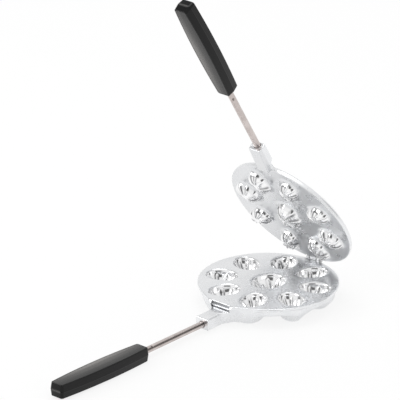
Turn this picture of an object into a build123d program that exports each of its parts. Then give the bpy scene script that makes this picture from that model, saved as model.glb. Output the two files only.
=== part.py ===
from build123d import *

import os
from math import acos, atan2, cos, degrees, hypot, radians, sin

# Walnut cookie iron: two cast aluminium plates hinged at one end, each on a long handle.
# The lower plate has nine nut-shaped cavities, the lid has nine smooth domes that press
# into them. Millimetres. The origin is on the floor under the middle of the plates, at the
# flat foot of the centre cup, with the handles towards -X and the hinge pin along Y.
# The lid is modelled closed and turned open about the hinge pin as the last step.

# Plates
plate_radius = 78.0
flange_thickness = 3.0
flange_overhang = 5.5
web_depth = 11.0
cup_depth = 22.8
cup_wall = 4.0
cup_round_beyond = 3.7
lid_thickness = 7.0
lid_back_bevel = 3.0
face_gap = 0.25

# Nuts
ring_nuts = 8
ring_radius = 54.0
first_nut_angle = 22.5
nut_length = 35.0
nut_width = 26.0
centre_nut_length = 40.0
centre_nut_width = 34.0
nut_depth = 16.0
centre_nut_depth = 17.0
nut_sides = 16
nut_rings = 5
cup_sides = 12
cup_rings = 4
dough_side = 2.2
dough_floor = 6.0
dome_wall = 4.2

# Round marks that the ejector pins leave on both faces
ejector_mark = 5.5
ejector_mark_depth = 0.3
ejector_from_rim = 8.6

# Necks and sockets, with lengths taken from the rim of the plates
block_width = 17.0
neck_reach = 7.0
shoulder_reach = 1.0
notch_width = 26.0
notch_depth = 7.0
notch_clearance = 0.5
neck_bottom = 20.6
neck_foot_reach = 1.5
neck_foot_inset = 15.0
neck_foot_spread = 32.5
neck_root_inset = 18.0
lower_block_reach = 33.0
upper_block_reach = 35.5
upper_block_length = 25.5
upper_block_back = 8.8
upper_block_back_width = 13.0
upper_neck_inner_width = 15.8
upper_neck_drop_at_end = 3.5
upper_neck_drop_at_root = 5.5
upper_gusset_inset = 2.0
upper_gusset_spread = 15.0
upper_gusset_reach = 5.0
block_round = 1.4

# Rods, rolled from sheet with an open seam
rod_diameter = 7.2
rod_wall = 1.0
rod_seam = 0.5
lower_seam_angle = 33.0
upper_seam_angle = 150.0
rod_in_socket = 24.0
rod_in_grip = 56.0
socket_clearance = 0.25
lower_rod_drop = 14.9
upper_rod_rise = 3.6
crimp_radius = 1.3
crimp_floor_radius = 0.4
crimp_depth = 0.7
lower_crimp_angle = 58.0
upper_crimp_angle = -33.0
crimp_from_grip = 12.0

# Pins that hold the rods in the sockets
rod_pin_diameter = 3.0
rod_pin_from_end = 12.0
rod_pin_seat = 1.5

# Grips
grip_start = 205.0
grip_length = 137.0
grip_end_width = 18.0
grip_middle_width = 24.0
grip_thickness = 15.5
grip_draft = 8.0
grip_edge_bevel = 0.7
grip_bore_clearance = 0.1
lower_grip_lift = 1.1

# Hinge
hinge_reach = 1.0
hinge_rise = 1.2
hinge_eye_radius = 3.7
ear_slope_x = 2.78
ear_slope_z = 2.44
ear_root = 10.0
ear_foot = 5.0
knuckle_width = 9.0
ear_thickness = 4.5
hinge_side_clearance = 0.3
hinge_swing_clearance = 0.4
hinge_pin_diameter = 3.2
hinge_pin_clearance = 0.1
pin_head_diameter = 5.4
pin_head_thickness = 1.3
pin_rivet_diameter = 4.4
pin_rivet_thickness = 0.8
heel_radius = 5.8
heel_span = 24.0
full_opening = 110.0
heel_margin = 0.7
lid_opening = 58.3

# Places that follow from the sizes
face = Plane.XY.offset(cup_depth)
lower_side = Plane(origin=(0, 0, cup_depth), x_dir=(1, 0, 0), z_dir=(0, -1, 0))
neck_tip = plate_radius + neck_reach
shoulder_wall = plate_radius + shoulder_reach
neck_root = plate_radius - neck_root_inset
lower_block_end = plate_radius + lower_block_reach
upper_block_end = plate_radius + upper_block_reach
upper_block_root = upper_block_end - upper_block_length
ejector_radius = plate_radius - ejector_from_rim
hinge_x = plate_radius + hinge_reach
lid_face = face.offset(face_gap)
hinge_z = cup_depth + hinge_rise
hinge_axis = Axis((hinge_x, 0, hinge_z), (0, 1, 0))
hinge_side = Plane(origin=(hinge_x, 0, hinge_z), x_dir=(1, 0, 0), z_dir=(0, -1, 0))
lower_rod_z = cup_depth - lower_rod_drop
upper_rod_z = cup_depth + face_gap + upper_rod_rise
slot_width = knuckle_width + 2 * hinge_side_clearance
yoke_width = slot_width + 2 * ear_thickness
swing_radius = hinge_eye_radius + hinge_swing_clearance
head_room_radius = pin_head_diameter / 2 + hinge_swing_clearance
pin_half_room = yoke_width / 2 + pin_head_thickness + 2 * hinge_side_clearance
lid_back = face_gap + lid_thickness
far = 2 * plate_radius


def outward(x, z):
    """A plane across a handle, looking outwards along -X, with its own x towards -Y."""
    return Plane(origin=(-x, 0, z), x_dir=(0, -1, 0), z_dir=(-1, 0, 0))


def nut(length, width, depth, sides, rings):
    """Half a nut below the mating plane, long axis along X, in flat facets."""
    points = [(0, 0, -depth)]
    for ring in range(rings):
        dip = radians(90 * ring / rings)
        for side in range(sides):
            turn = radians(360 * side / sides)
            x = length / 2 * cos(dip) * cos(turn)
            y = width / 2 * cos(dip) * sin(turn)
            points.append((x, y, -depth * sin(dip)))
    with BuildPart() as form:
        ConvexPolyhedron(points, align=None)
    return form.part


def cup(length, width):
    """The outside of the casting round one nut, cut flat at its foot."""
    grown = 2 * cup_wall
    outside = nut(length + grown, width + grown, cup_depth + cup_round_beyond, cup_sides, cup_rings)
    with BuildPart() as form:
        add(outside)
        split(bisect_by=Plane.XY.offset(-cup_depth), keep=Keep.TOP)
    return form.part


def dome(length, width, depth):
    """What presses into one nut, with room for the dough at its sides and floor."""
    inset = 2 * dough_side
    return nut(length - inset, width - inset, depth - dough_floor, nut_sides, nut_rings)


def dome_hollow(length, width, depth):
    """The hollow behind one dome, one wall inside it, open at the back of the lid."""
    inset = 2 * (dough_side + dome_wall)
    hollow_depth = depth - dough_floor - dome_wall + lid_thickness
    return nut(length - inset, width - inset, hollow_depth, cup_sides, cup_rings)


ring_size = (nut_length, nut_width, nut_depth)
centre_size = (centre_nut_length, centre_nut_width, centre_nut_depth)
ring_cavity = nut(*ring_size, nut_sides, nut_rings)
centre_cavity = nut(*centre_size, nut_sides, nut_rings)
ring_cup = cup(nut_length, nut_width)
centre_cup = cup(centre_nut_length, centre_nut_width)
ring_dome = dome(*ring_size)
centre_dome = dome(*centre_size)
ring_hollow = dome_hollow(*ring_size)
centre_hollow = dome_hollow(*centre_size)


# Plan of the lower plate: a disc drawn out by its two tangent lines to the socket block
with BuildSketch() as outline:
    Circle(plate_radius)
    with Locations((-neck_tip, 0)):
        Rectangle(block_width, block_width, align=(Align.MIN, Align.CENTER))
    make_hull()

# Where those two lines leave the disc
block_half = block_width / 2
tangent_turn = atan2(block_half, neck_tip) + acos(plate_radius / hypot(neck_tip, block_half))
tangent_x = plate_radius * cos(tangent_turn)
tangent_y = plate_radius * sin(tangent_turn)


def both_sides(points):
    """The points and their mirror images across the handle."""
    return points + [(x, -y, z) for x, y, z in points]


# The lower neck: flush with the plate's outline above, drawn in towards its foot
foot_tip = plate_radius + neck_foot_reach
lower_neck_corners = [
    (-neck_tip, block_half, -flange_thickness),
    (-tangent_x, tangent_y, -flange_thickness),
    (-neck_root, tangent_y, -flange_thickness),
    (-foot_tip, block_half, -neck_bottom),
    (neck_foot_inset - plate_radius, neck_foot_spread, -neck_bottom),
    (-neck_root, neck_foot_spread, -neck_bottom),
]
with BuildPart() as lower_neck:
    ConvexPolyhedron(both_sides(lower_neck_corners), align=None)

# The lid's neck as far as the parting line at the rod's axis, and the block's back above it
upper_inner_half = upper_neck_inner_width / 2
upper_back_half = upper_block_back_width / 2
upper_neck_start = shoulder_wall + notch_clearance
upper_neck_corners = [
    (-upper_block_end, upper_inner_half, -upper_neck_drop_at_end),
    (-upper_neck_start, upper_inner_half, -upper_neck_drop_at_root),
    (-upper_block_end, block_half, upper_rod_rise),
    (-upper_neck_start, block_half, upper_rod_rise),
]
upper_back_corners = [
    (-upper_block_end, block_half, upper_rod_rise),
    (-upper_block_root, block_half, upper_rod_rise),
    (-upper_block_end, upper_back_half, upper_block_back),
    (-upper_block_root, upper_back_half, upper_block_back),
]
with BuildPart() as upper_neck:
    ConvexPolyhedron(both_sides(upper_neck_corners), align=None)
with BuildPart() as upper_back:
    ConvexPolyhedron(both_sides(upper_back_corners), align=None)


with BuildPart() as lower_plate:
    with BuildSketch(face):
        add(outline.sketch)
    extrude(amount=-flange_thickness)
    with BuildSketch(face):
        Circle(plate_radius - flange_overhang)
    extrude(amount=-web_depth)
    with Locations(face):
        add(lower_neck.part)
    with BuildSketch(face):
        with Locations((-neck_root, 0)):
            Rectangle(lower_block_end - neck_root, block_width, align=(Align.MAX, Align.CENTER))
    extrude(amount=-neck_bottom)
    # The notch for the lid's neck, between two cheeks that slope down to the block
    with BuildSketch(face):
        with Locations((-shoulder_wall, 0)):
            Rectangle(far, notch_width, align=(Align.MAX, Align.CENTER))
    extrude(amount=-notch_depth, mode=Mode.SUBTRACT)
    with BuildSketch(lower_side):
        with BuildLine():
            Polyline(
                (-shoulder_wall, 0.0),
                (-neck_tip, -notch_depth),
                (-far, -notch_depth),
                (-far, flange_thickness),
                (-shoulder_wall, flange_thickness),
                close=True,
            )
        make_face()
    extrude(amount=far, both=True, mode=Mode.SUBTRACT)
    fillet(lower_plate.faces().sort_by(Axis.X)[0].edges(), block_round)
    with Locations(face):
        with PolarLocations(ring_radius, ring_nuts, first_nut_angle):
            add(ring_cup)
        add(centre_cup)
        with PolarLocations(ring_radius, ring_nuts, first_nut_angle):
            add(ring_cavity, mode=Mode.SUBTRACT)
        add(centre_cavity, mode=Mode.SUBTRACT)
    with Locations(face):
        with GridLocations(2 * ejector_radius, 0, 2, 1):
            Hole(ejector_mark / 2, depth=ejector_mark_depth)
    # Two hinge ears on a gusset, parted by the slot for the lid's knuckle
    with BuildSketch(hinge_side):
        Circle(head_room_radius)
    extrude(amount=pin_half_room, both=True, mode=Mode.SUBTRACT)
    with BuildSketch(hinge_side):
        Circle(hinge_eye_radius)
        with BuildLine():
            Polyline(
                (-ear_root, -hinge_rise - face_gap),
                (0.0, -hinge_rise - face_gap),
                (ear_slope_x, -ear_slope_z),
                (-ear_foot, -hinge_rise - web_depth),
                (-ear_root, -hinge_rise - web_depth),
                close=True,
            )
        make_face()
    extrude(amount=yoke_width / 2, both=True)
    with BuildSketch(hinge_side):
        with Locations((-swing_radius, 0)):
            Rectangle(far, far, align=(Align.MIN, Align.CENTER))
    extrude(amount=slot_width / 2, both=True, mode=Mode.SUBTRACT)
    with BuildSketch(hinge_side):
        Circle(hinge_pin_diameter / 2 + hinge_pin_clearance)
    extrude(amount=far, both=True, mode=Mode.SUBTRACT)
    # Socket for the rod, and the hole for its pin from below
    with Locations(outward(lower_block_end, lower_rod_z)):
        Hole(rod_diameter / 2 + socket_clearance, depth=rod_in_socket)
    with BuildSketch(Plane.XY.offset(cup_depth - neck_bottom)):
        with Locations((-lower_block_end + rod_pin_from_end, 0)):
            Circle(rod_pin_diameter / 2)
    extrude(
        amount=neck_bottom - lower_rod_drop + rod_diameter / 2 + socket_clearance + rod_pin_seat,
        mode=Mode.SUBTRACT,
    )
lower_plate.part.label = "lower_plate"


with BuildPart() as upper_plate:
    with BuildSketch(lid_face):
        Circle(plate_radius)
    extrude(amount=lid_thickness)
    chamfer(upper_plate.faces().sort_by(Axis.Z)[-1].edges(), lid_back_bevel)
    # The neck fills the lower plate's notch, with small gussets where it meets the rim
    with Locations(lid_face):
        add(upper_neck.part)
        add(upper_back.part)
    with BuildSketch(lid_face):
        with Locations((upper_gusset_inset - plate_radius, 0)):
            Trapezoid(
                2 * upper_gusset_spread,
                upper_gusset_inset + upper_gusset_reach,
                degrees(atan2(upper_gusset_inset + upper_gusset_reach, upper_gusset_spread - block_half)),
                rotation=90,
                align=(Align.CENTER, Align.MIN),
            )
    extrude(amount=upper_rod_rise)
    fillet(upper_plate.faces().sort_by(Axis.X)[0].edges(), block_round)
    with Locations(lid_face):
        with PolarLocations(ring_radius, ring_nuts, first_nut_angle):
            add(ring_dome)
        add(centre_dome)
    # Each dome is hollow from behind
    with Locations(lid_face.offset(lid_thickness)):
        with PolarLocations(ring_radius, ring_nuts, first_nut_angle):
            add(ring_hollow, mode=Mode.SUBTRACT)
        add(centre_hollow, mode=Mode.SUBTRACT)
    with Locations(Plane(origin=(0, 0, cup_depth + face_gap), z_dir=(0, 0, -1))):
        with GridLocations(2 * ejector_radius, 0, 2, 1):
            Hole(ejector_mark / 2, depth=ejector_mark_depth)
    # Room for the lower plate's ears, then the knuckle between them with its stop heel
    with BuildSketch(hinge_side):
        Circle(swing_radius)
    extrude(amount=pin_half_room, both=True, mode=Mode.SUBTRACT)
    heel_contact = 180 - degrees(acos(swing_radius / heel_radius))
    heel_start = full_opening + heel_margin - heel_contact
    with BuildSketch(hinge_side):
        Circle(hinge_eye_radius)
        with Locations((0, lid_back - hinge_rise)):
            Rectangle(ear_root, lid_thickness, align=(Align.MAX, Align.MAX))
        with BuildLine():
            Polyline(
                (0, 0),
                (heel_radius * cos(radians(heel_start)), heel_radius * sin(radians(heel_start))),
                (
                    heel_radius * cos(radians(heel_start + heel_span)),
                    heel_radius * sin(radians(heel_start + heel_span)),
                ),
                close=True,
            )
        make_face()
    extrude(amount=knuckle_width / 2, both=True)
    with BuildSketch(hinge_side):
        Circle(hinge_pin_diameter / 2 + hinge_pin_clearance)
    extrude(amount=knuckle_width, both=True, mode=Mode.SUBTRACT)
    with Locations(outward(upper_block_end, upper_rod_z)):
        Hole(rod_diameter / 2 + socket_clearance, depth=rod_in_socket)
    with BuildSketch(lid_face.offset(upper_block_back)):
        with Locations((-upper_block_end + rod_pin_from_end, 0)):
            Circle(rod_pin_diameter / 2)
    extrude(
        amount=-(upper_block_back - upper_rod_rise + rod_diameter / 2 + socket_clearance + rod_pin_seat),
        mode=Mode.SUBTRACT,
    )
upper_plate.part.label = "upper_plate"


# Hinge pin: a shank with a head at one end, riveted over at the other
shank_length = yoke_width + 2 * hinge_pin_clearance
with BuildPart() as hinge_pin:
    with BuildSketch(hinge_side):
        Circle(hinge_pin_diameter / 2)
    extrude(amount=shank_length / 2, both=True)
    with BuildSketch(hinge_side.offset(-shank_length / 2)):
        Circle(pin_head_diameter / 2)
    extrude(amount=-pin_head_thickness)
    with BuildSketch(hinge_side.offset(shank_length / 2)):
        Circle(pin_rivet_diameter / 2)
    extrude(amount=pin_rivet_thickness)
hinge_pin.part.label = "hinge_pin"


def rod(block_end, axis_z, seam_angle, crimp_angle, pin_hole_plane):
    """A rolled tube from its socket to its end inside the grip."""
    start = block_end - rod_in_socket
    length = grip_start + rod_in_grip - start
    crimp_way = (0, -cos(radians(crimp_angle)), sin(radians(crimp_angle)))
    crimp = grip_start - crimp_from_grip
    with BuildPart() as tube:
        with BuildSketch(outward(start, axis_z)):
            Circle(rod_diameter / 2)
            Circle(rod_diameter / 2 - rod_wall, mode=Mode.SUBTRACT)
            with PolarLocations(rod_diameter / 2 - rod_wall / 2, 1, seam_angle):
                Rectangle(2 * rod_wall, rod_seam, mode=Mode.SUBTRACT)
        extrude(amount=length)
        with BuildSketch(pin_hole_plane):
            with Locations((-block_end + rod_pin_from_end, 0)):
                Circle(rod_pin_diameter / 2)
        extrude(amount=rod_diameter, both=True, mode=Mode.SUBTRACT)
        with Locations(Plane(origin=(-crimp, 0, axis_z), z_dir=crimp_way)):
            with Locations((0, 0, rod_diameter / 2 - crimp_depth)):
                Cone(crimp_floor_radius, crimp_radius, 2 * crimp_depth, mode=Mode.SUBTRACT)
    return tube.part


def rod_pin(block_end, from_z, to_z):
    """A plain pin driven through the socket block and the rod in it."""
    with BuildPart() as pin:
        with BuildSketch(Plane.XY.offset(from_z)):
            with Locations((-block_end + rod_pin_from_end, 0)):
                Circle(rod_pin_diameter / 2)
        extrude(amount=to_z - from_z)
    return pin.part


def grip(axis_z, lift):
    """A moulded grip: barrel-shaped in plan, with drafted sides that meet at mid height."""
    plane = Plane(
        origin=(-grip_start, 0, axis_z),
        x_dir=(-cos(radians(lift)), 0, sin(radians(lift))),
        z_dir=(sin(radians(lift)), 0, cos(radians(lift))),
    )
    end = grip_end_width / 2
    middle = grip_middle_width / 2
    with BuildPart() as moulding:
        with BuildSketch(plane):
            with BuildLine():
                ThreePointArc((0, end), (grip_length / 2, middle), (grip_length, end))
                Line((grip_length, end), (grip_length, -end))
                ThreePointArc((grip_length, -end), (grip_length / 2, -middle), (0, -end))
                Line((0, -end), (0, end))
            make_face()
        extrude(amount=grip_thickness / 2, taper=grip_draft)
        mirror(about=plane)
        chamfer(moulding.edges(), grip_edge_bevel)
        with Locations(Plane(origin=(-grip_start, 0, axis_z), z_dir=(1, 0, 0))):
            Hole(rod_diameter / 2 + grip_bore_clearance, depth=rod_in_grip)
    return moulding.part


lower_pin_top = lower_rod_z + rod_diameter / 2 + socket_clearance + rod_pin_seat
upper_pin_bottom = upper_rod_z - rod_diameter / 2 - socket_clearance - rod_pin_seat
upper_pin_top = cup_depth + face_gap + upper_block_back

lower_rod_level = Plane.XY.offset(lower_rod_z)
upper_rod_level = Plane.XY.offset(upper_rod_z)

fixed_pieces = {
    "lower_plate": lower_plate.part,
    "hinge_pin": hinge_pin.part,
    "lower_rod": rod(lower_block_end, lower_rod_z, lower_seam_angle, lower_crimp_angle, lower_rod_level),
    "lower_rod_pin": rod_pin(lower_block_end, cup_depth - neck_bottom, lower_pin_top),
    "lower_grip": grip(lower_rod_z, lower_grip_lift),
}
lid_pieces = {
    "upper_plate": upper_plate.part,
    "upper_rod": rod(upper_block_end, upper_rod_z, upper_seam_angle, upper_crimp_angle, upper_rod_level),
    "upper_rod_pin": rod_pin(upper_block_end, upper_pin_bottom, upper_pin_top),
    "upper_grip": grip(upper_rod_z, 0),
}

os.makedirs("parts", exist_ok=True)
for name, piece in fixed_pieces.items():
    piece.label = name
    export_step(piece, f"parts/{name}.step")
for name, piece in lid_pieces.items():
    opened = piece.rotate(hinge_axis, lid_opening)
    opened.label = name
    export_step(opened, f"parts/{name}.step")
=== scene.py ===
"""Looks of a hinged iron for walnut-shaped cookies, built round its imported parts.

Shapes are worked out in millimetres in the frame of the parts: the floor is at z = 0, the
handles point towards -X and the hinge pin lies along Y. Both castings are meshed from one
distance formula each, so that every edge and every root has the soft radius of a casting.
In the formulas x and y are places along X and Y, f and g are heights above a mating face,
and a distance is negative inside the metal.
"""

import logging
from collections.abc import Sequence
from dataclasses import dataclass, field
from enum import Enum
from itertools import product
from math import cos, pi, radians, sin, tan

import bpy
import numpy as np
from mathutils import Matrix, Vector

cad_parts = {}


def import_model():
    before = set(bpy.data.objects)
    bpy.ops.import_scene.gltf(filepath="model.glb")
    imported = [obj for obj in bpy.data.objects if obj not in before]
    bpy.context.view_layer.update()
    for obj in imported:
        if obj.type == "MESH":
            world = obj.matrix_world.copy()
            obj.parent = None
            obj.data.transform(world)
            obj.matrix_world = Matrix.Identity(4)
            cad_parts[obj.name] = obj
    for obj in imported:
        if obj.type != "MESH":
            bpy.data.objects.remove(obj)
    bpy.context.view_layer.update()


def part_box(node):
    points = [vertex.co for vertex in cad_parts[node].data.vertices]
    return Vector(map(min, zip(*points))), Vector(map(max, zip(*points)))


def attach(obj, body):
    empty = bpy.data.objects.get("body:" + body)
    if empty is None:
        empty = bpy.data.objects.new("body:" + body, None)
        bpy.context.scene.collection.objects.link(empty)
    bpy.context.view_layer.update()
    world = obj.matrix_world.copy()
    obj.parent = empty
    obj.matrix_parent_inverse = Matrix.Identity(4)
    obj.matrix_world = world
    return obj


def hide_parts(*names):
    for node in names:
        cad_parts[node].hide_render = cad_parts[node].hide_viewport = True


log = logging.getLogger("walnut_iron")

MM = 0.001
NOISE_MIDDLE = 0.5
LEAST_SIZE = 1e-6
LEAST_SLOPE = 1e-9
MIX_SHARE = 0
MIX_LOW = 6
MIX_HIGH = 7
MIX_RESULT = 2
Array = np.ndarray
Pair = tuple[float, float]
Triple = tuple[float, float, float]
Colour = tuple[float, float, float, float]


class Body(Enum):
    """The two bodies that the hinge joins."""

    BASE = "base"
    LID = "lid"


class Slot(Enum):
    """The record's material slots."""

    ALUMINIUM = "cast_aluminium"
    ROD = "rod_steel"
    PIN = "pin_steel"
    BAKELITE = "bakelite"


class Mark(Enum):
    """Names of what is stored on mesh points for the finishes."""

    NUT = "nut"
    # painted shade: each point's share of colour darkened to stand in for shade and dark reflections
    PAINTED_SHADE = "painted_shade"
    OWN = "own_place"


# Shader maths


class Value:
    """A socket that takes part in expressions; each operator adds a Math node."""

    def __init__(self, graph: "Graph", socket: bpy.types.NodeSocket) -> None:
        """Wraps an output socket of a graph."""
        self.graph = graph
        self.socket = socket

    def _math(self, operation: str, *terms: "Value | float") -> "Value":
        """The output of one Math node with its terms in order."""
        node = self.graph.node("ShaderNodeMath", {"operation": operation}, dict(enumerate(terms)))
        return Value(self.graph, node.outputs[0])

    def __add__(self, other: "Value | float") -> "Value":
        """Sum."""
        return self._math("ADD", self, other)

    __radd__ = __add__

    def __sub__(self, other: "Value | float") -> "Value":
        """Difference."""
        return self._math("SUBTRACT", self, other)

    def __rsub__(self, other: "Value | float") -> "Value":
        """Reflected difference."""
        return self._math("SUBTRACT", other, self)

    def __mul__(self, other: "Value | float") -> "Value":
        """Product."""
        return self._math("MULTIPLY", self, other)

    __rmul__ = __mul__

    def __truediv__(self, other: "Value | float") -> "Value":
        """Quotient."""
        return self._math("DIVIDE", self, other)

    def __rtruediv__(self, other: "Value | float") -> "Value":
        """Reflected quotient."""
        return self._math("DIVIDE", other, self)

    def __abs__(self) -> "Value":
        """Size without sign."""
        return self._math("ABSOLUTE", self)

    def sine(self) -> "Value":
        """Sine of the value in radians."""
        return self._math("SINE", self)

    def angle_to(self, other: "Value") -> "Value":
        """Angle of the point whose height is this value and whose run is the other."""
        return self._math("ARCTAN2", self, other)

    def clipped(self) -> "Value":
        """The value kept between 0 and 1."""
        return self._math("MINIMUM", self._math("MAXIMUM", self, 0.0), 1.0)

    def ramped(self, start: float, gain: float) -> "Value":
        """0 up to the start, and from there rising by the gain up to 1."""
        return ((self - start) * gain).clipped()


class Graph:
    """A node tree under construction."""

    def __init__(self, tree: bpy.types.NodeTree) -> None:
        """Empties a tree."""
        self.tree = tree
        self.tree.nodes.clear()

    def node(self, kind: str, settings: dict | None = None, inputs: dict | None = None) -> bpy.types.Node:
        """Adds a node.

        Args:
            kind: the node's type.
            settings: its own properties, which are set first.
            inputs: values or links of its sockets, by name or number.

        Returns:
            The node.
        """
        node = self.tree.nodes.new(kind)
        for name, value in (settings or {}).items():
            setattr(node, name, value)
        for key, value in (inputs or {}).items():
            self.feed(node.inputs[key], value)
        return node

    def feed(self, socket: bpy.types.NodeSocket, value: object) -> None:
        """Links or sets a socket.

        Args:
            socket: the input socket.
            value: a Value, a socket, a number or a colour.
        """
        if isinstance(value, Value):
            self.tree.links.new(value.socket, socket)
        elif isinstance(value, bpy.types.NodeSocket):
            self.tree.links.new(value, socket)
        else:
            socket.default_value = value

    def place(self) -> bpy.types.NodeSocket:
        """The point's place on its object, in metres."""
        return self.node("ShaderNodeTexCoord").outputs["Object"]

    def own_place(self) -> bpy.types.NodeSocket:
        """The point's stored place along its rod or grip, in metres."""
        return self.node("ShaderNodeAttribute", {"attribute_name": Mark.OWN.value}).outputs["Vector"]

    def stretched(self, scale: Triple) -> bpy.types.NodeSocket:
        """The stored place scaled unevenly, for marks that run one way."""
        inputs = {"Vector": self.own_place(), "Scale": scale}
        return self.node("ShaderNodeMapping", None, inputs).outputs["Vector"]

    def noise(self, scale: float, detail: float, place: bpy.types.NodeSocket | None = None) -> Value:
        """Soft noise round a half, read at the object's own place unless another is given."""
        inputs = {"Vector": self.place() if place is None else place, "Scale": scale, "Detail": detail}
        return Value(self, self.node("ShaderNodeTexNoise", None, inputs).outputs["Fac"])

    def stored(self, mark: Mark) -> Value:
        """The number that the mesh stores under a name."""
        settings = {"attribute_name": mark.value, "attribute_type": "GEOMETRY"}
        return Value(self, self.node("ShaderNodeAttribute", settings).outputs["Fac"])

    def blend(self, share: Value, low: Colour | bpy.types.NodeSocket, high: Colour) -> bpy.types.NodeSocket:
        """A colour between two, where a share of 0 gives the low one and 1 the high one."""
        inputs = {MIX_SHARE: share, MIX_LOW: low, MIX_HIGH: high}
        return self.node("ShaderNodeMix", {"data_type": "RGBA"}, inputs).outputs[MIX_RESULT]

    def bump(self, height: Value, depth: float) -> bpy.types.NodeSocket:
        """A normal bent by a height from 0 to 1, where 1 is the depth in metres."""
        inputs = {"Height": height, "Distance": depth, "Strength": 1.0}
        return self.node("ShaderNodeBump", None, inputs).outputs["Normal"]

    def seen(self) -> Value:
        """1 for what the camera sees directly, 0 for light and reflections."""
        return Value(self, self.node("ShaderNodeLightPath").outputs["Is Camera Ray"])

    def mirrored(self) -> Value:
        """1 for what is seen in a reflection."""
        return Value(self, self.node("ShaderNodeLightPath").outputs["Is Glossy Ray"])


class Shader(Graph):
    """A material under construction, with a Principled surface."""

    def __init__(self, name: str) -> None:
        """Makes the material.

        Args:
            name: the material's name.
        """
        self.material = bpy.data.materials.new(name)
        self.material.use_nodes = True
        super().__init__(self.material.node_tree)
        self.surface = self.node("ShaderNodeBsdfPrincipled")
        self.output = self.node("ShaderNodeOutputMaterial", None, {"Surface": self.surface.outputs[0]})

    def dress(self, **sockets: object) -> bpy.types.Material:
        """Feeds the surface's sockets.

        Args:
            sockets: values by socket name, with underscores for blanks.

        Returns:
            The finished material.
        """
        for name, value in sockets.items():
            self.feed(self.surface.inputs[name.replace("_", " ")], value)
        return self.material


@dataclass(frozen=True)
class CastAluminium:
    """Cast aluminium: satin faces, mirror-bright nuts, and painted shade and dark reflections darkening the
    colour where the mesh stores them.
    """

    colour: Colour = (0.90, 0.905, 0.915, 1.0)
    worn_colour: Colour = (0.84, 0.85, 0.865, 1.0)
    nut_colour: Colour = (0.97, 0.97, 0.975, 1.0)
    painted_shade_colour: Colour = (0.06, 0.062, 0.07, 1.0)
    face_roughness: float = 0.27
    nut_roughness: float = 0.07
    mottle_scale: float = 70.0
    mottle_detail: float = 5.0
    mottle_start: float = 0.35
    mottle_gain: float = 2.6
    mottle_roughness: float = 0.12
    mottle_height: float = 1.5
    grain_scale: float = 900.0
    grain_detail: float = 2.0
    grain_depth: float = 0.000015
    nut_smoothing: float = 0.95
    shade_least: float = 0.8
    shade_mottle: float = 0.4
    shade_roughness: float = 0.1

    def material(self) -> bpy.types.Material:
        """Makes the material.

        Returns:
            The material.
        """
        shader = Shader("cast_aluminium")
        nut = shader.stored(Mark.NUT)
        mottle = shader.noise(self.mottle_scale, self.mottle_detail)
        grain = shader.noise(self.grain_scale, self.grain_detail)
        uneven = mottle.ramped(self.mottle_start, self.mottle_gain)
        # painted shade: the stored share darkens the satin and polished metal towards a near-black grey
        shade_share = (shader.stored(Mark.PAINTED_SHADE) * (self.shade_least + mottle * self.shade_mottle)).clipped()
        plain = shader.blend(uneven, self.worn_colour, self.colour)
        bright = shader.blend(nut, plain, self.nut_colour)
        roughness = self.face_roughness + (mottle - NOISE_MIDDLE) * self.mottle_roughness
        roughness = (roughness + shade_share * self.shade_roughness) * (1 - nut) + nut * self.nut_roughness
        height = (grain + mottle * self.mottle_height) * (1 - nut * self.nut_smoothing)
        return shader.dress(
            Base_Color=shader.blend(shade_share, bright, self.painted_shade_colour),
            Metallic=1.0,
            Roughness=roughness,
            Normal=shader.bump(height, self.grain_depth),
        )


@dataclass(frozen=True)
class RodSteel:
    """Rolled bright steel, a little warm, with painted shade along its seam and in its stake mark."""

    colour: Colour = (0.79, 0.725, 0.70, 1.0)
    stain_colour: Colour = (0.56, 0.50, 0.48, 1.0)
    painted_shade_tint: Colour = (0.07, 0.055, 0.05, 1.0)
    roughness: float = 0.25
    stain_scale: float = 90.0
    stain_detail: float = 4.0
    stain_start: float = 0.4
    stain_gain: float = 2.2
    draw_scale: Triple = (6.0, 900.0, 900.0)
    draw_detail: float = 2.0
    draw_roughness: float = 0.2
    draw_depth: float = 0.00004

    def material(self) -> bpy.types.Material:
        """Makes the material.

        Returns:
            The material.
        """
        shader = Shader("rod_steel")
        drawn = shader.noise(1.0, self.draw_detail, shader.stretched(self.draw_scale))
        stain_and_shade = shader.noise(self.stain_scale, self.stain_detail)
        share = stain_and_shade.ramped(self.stain_start, self.stain_gain)
        steel = shader.blend(share, self.stain_colour, self.colour)
        return shader.dress(
            # painted shade: darkens the steel along the seam and in the stake mark
            Base_Color=shader.blend(shader.stored(Mark.PAINTED_SHADE), steel, self.painted_shade_tint),
            Metallic=1.0,
            Roughness=self.roughness + (drawn - NOISE_MIDDLE) * self.draw_roughness,
            Normal=shader.bump(drawn, self.draw_depth),
        )


@dataclass(frozen=True)
class PinSteel:
    """Turned steel of the pins."""

    colour: Colour = (0.62, 0.62, 0.63, 1.0)
    dull_colour: Colour = (0.45, 0.44, 0.44, 1.0)
    roughness: float = 0.3
    spot_scale: float = 1500.0
    spot_detail: float = 3.0
    spot_start: float = 0.35
    spot_gain: float = 3.0
    spot_roughness: float = 0.25
    spot_depth: float = 0.00003

    def material(self) -> bpy.types.Material:
        """Makes the material.

        Returns:
            The material.
        """
        shader = Shader("pin_steel")
        spots = shader.noise(self.spot_scale, self.spot_detail)
        share = spots.ramped(self.spot_start, self.spot_gain)
        return shader.dress(
            Base_Color=shader.blend(share, self.dull_colour, self.colour),
            Metallic=1.0,
            Roughness=self.roughness + (spots - NOISE_MIDDLE) * self.spot_roughness,
            Normal=shader.bump(spots, self.spot_depth),
        )


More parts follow.
